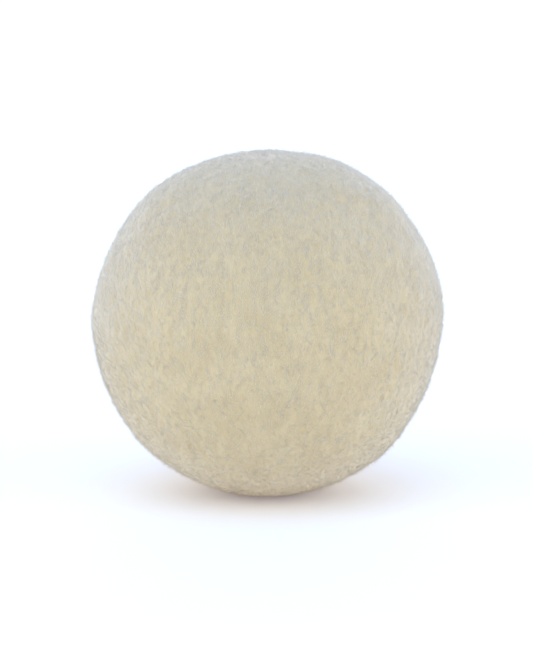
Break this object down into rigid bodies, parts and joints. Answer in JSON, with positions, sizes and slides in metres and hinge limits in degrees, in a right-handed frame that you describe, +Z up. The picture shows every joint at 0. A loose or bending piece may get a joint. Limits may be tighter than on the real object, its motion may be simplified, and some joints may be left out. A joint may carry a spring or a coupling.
{
  "type": "dryer ball",
  "caption": "Felted wool ball that tumbles with wet laundry to part and soften it: a rolled core, strips wound crosswise round it, and a fine cover.",
  "frame": {"origin": "middle of the small flat that the ball rests on, at the bottom of the ball", "axes": "+Z up through the middle of the ball; X and Y along the winding axes of the strips inside"},
  "size_m": [0.075, 0.075, 0.0737],
  "materials": {
    "cover_wool": "felted undyed wool, matt, with short fine nap",
    "wrap_wool": "felted carded wool, matt",
    "core_wool": "tightly rolled carded wool, matt"
  },
  "bodies": {
    "root": {"core_roll": "core_wool", "first_wrap": "wrap_wool", "second_wrap": "wrap_wool", "third_wrap": "wrap_wool", "fourth_wrap": "wrap_wool", "fifth_wrap": "wrap_wool", "sixth_wrap": "wrap_wool", "outer_cover": "cover_wool"}
  },
  "joints": []
}
